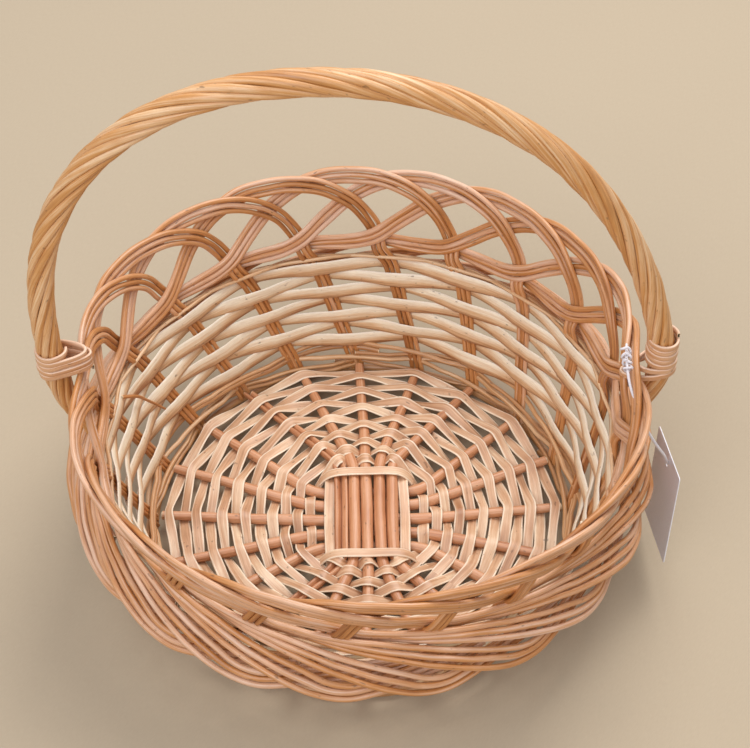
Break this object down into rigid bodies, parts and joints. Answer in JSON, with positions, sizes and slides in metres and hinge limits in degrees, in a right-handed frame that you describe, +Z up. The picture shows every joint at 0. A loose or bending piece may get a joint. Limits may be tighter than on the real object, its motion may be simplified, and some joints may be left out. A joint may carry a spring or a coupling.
{
  "type": "woven wicker basket",
  "caption": "Round low willow basket with a woven base and wall, an open arch border, a roped bow handle and a blank hang tag.",
  "frame": {"origin": "on the table under the middle of the basket, in the plane of the foot rod's flat underside", "axes": "+Z up; the bow handle stands in the XZ plane, with the hang tag at its +X foot; -Y is the side nearest the viewer"},
  "size_m": [0.3555, 0.3346, 0.3411],
  "materials": {
    "stake_willow": "peeled round willow, orange brown, soft sheen",
    "stick_willow": "peeled round willow, reddish brown, soft sheen",
    "base_split_willow": "split willow, pale straw with pinkish edges",
    "side_split_willow": "split willow, cream with pinkish edges",
    "wale_willow": "thin peeled round willow, pinkish brown",
    "handle_willow": "peeled round willow, golden ochre, soft sheen",
    "binding_willow": "thin peeled round willow, pinkish tan",
    "tag_card": "plain white paper card, matt",
    "tag_thread": "thin white cotton thread, fluffy"
  },
  "bodies": {
    "root": {"stake_group_01": "stake_willow", "stake_group_02": "stake_willow", "stake_group_03": "stake_willow", "stake_group_04": "stake_willow", "stake_group_05": "stake_willow", "stake_group_06": "stake_willow", "stake_group_07": "stake_willow", "stake_group_08": "stake_willow", "stake_group_09": "stake_willow", "stake_group_10": "stake_willow", "stake_group_11": "stake_willow", "stake_group_12": "stake_willow", "stake_group_13": "stake_willow", "stake_group_14": "stake_willow", "stake_group_15": "stake_willow", "stake_group_16": "stake_willow", "stake_group_17": "stake_willow", "stake_group_18": "stake_willow", "stake_group_19": "stake_willow", "stake_group_20": "stake_willow", "base_stick_across_1": "stick_willow", "base_stick_across_2": "stick_willow", "base_stick_across_3": "stick_willow", "base_stick_across_4": "stick_willow", "base_stick_across_5": "stick_willow", "base_stick_along_1": "stick_willow", "base_stick_along_2": "stick_willow", "base_stick_along_3": "stick_willow", "base_stick_along_4": "stick_willow", "base_stick_along_5": "stick_willow", "base_binding": "base_split_willow", "base_weaver_pair_1": "base_split_willow", "base_weaver_pair_2": "base_split_willow", "base_weaver_pair_3": "base_split_willow", "base_weaver_pair_4": "base_split_willow", "base_weaver_pair_5": "base_split_willow", "base_weaver_pair_6": "base_split_willow", "foot_rod": "wale_willow", "foot_wale_1": "wale_willow", "foot_wale_2": "wale_willow", "foot_wale_3": "wale_willow", "foot_wale_4": "wale_willow", "foot_wale_5": "wale_willow", "side_weaver_1": "side_split_willow", "side_weaver_2": "side_split_willow", "side_weaver_3": "side_split_willow", "side_weaver_4": "side_split_willow", "side_weaver_5": "side_split_willow", "side_weaver_6": "side_split_willow", "side_weaver_7": "side_split_willow", "top_rod": "wale_willow", "handle_core": "handle_willow", "handle_rope": "handle_willow", "handle_binding_left": "binding_willow", "handle_binding_right": "binding_willow", "hang_tag": "tag_card", "tag_string": "tag_thread"}
  },
  "joints": []
}
